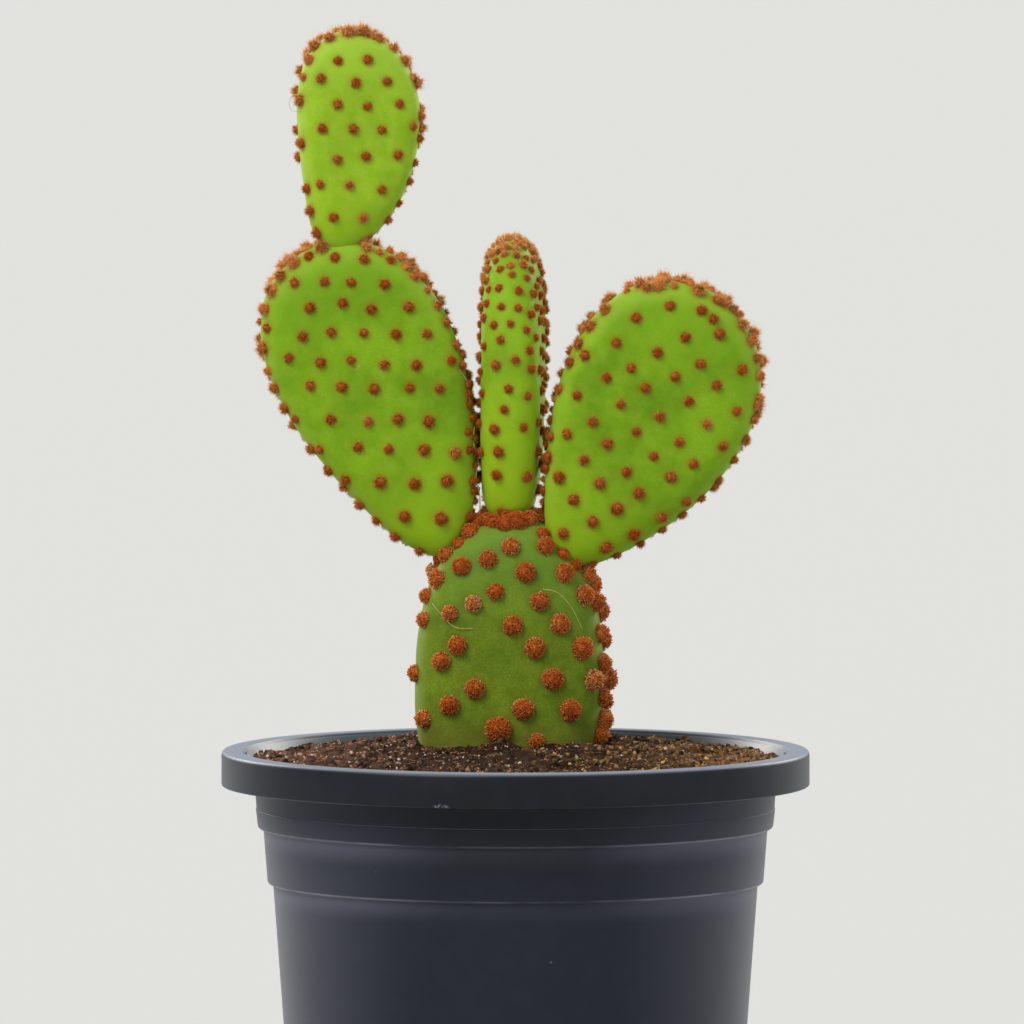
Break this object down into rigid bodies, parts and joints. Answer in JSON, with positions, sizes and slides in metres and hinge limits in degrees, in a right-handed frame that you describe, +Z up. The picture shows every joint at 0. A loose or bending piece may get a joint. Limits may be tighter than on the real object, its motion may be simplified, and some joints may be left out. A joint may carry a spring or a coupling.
{
  "type": "potted bunny ears cactus",
  "caption": "Bunny ears cactus with flat, tufted green pads, standing in soil in a round tapered nursery pot.",
  "frame": {"origin": "centre of the pot's foot, on the surface it stands on", "axes": "+Z up the pot's axis, -Y towards the front, where the two broad side pads show their faces"},
  "size_m": [0.13, 0.13, 0.2704],
  "materials": {
    "pot_plastic": "dark blue-grey moulded plastic, satin",
    "potting_soil": "dry peat with grit and fibres",
    "pad_skin": "velvety yellow-green skin with rust-brown bristle tufts",
    "old_pad_skin": "dull dark green skin with larger rust-brown bristle tufts"
  },
  "bodies": {
    "root": {"pot": "pot_plastic", "soil": "potting_soil", "base_pad": "old_pad_skin", "left_pad": "pad_skin", "upper_left_pad": "pad_skin", "middle_pad": "pad_skin", "right_pad": "pad_skin"}
  },
  "joints": []
}
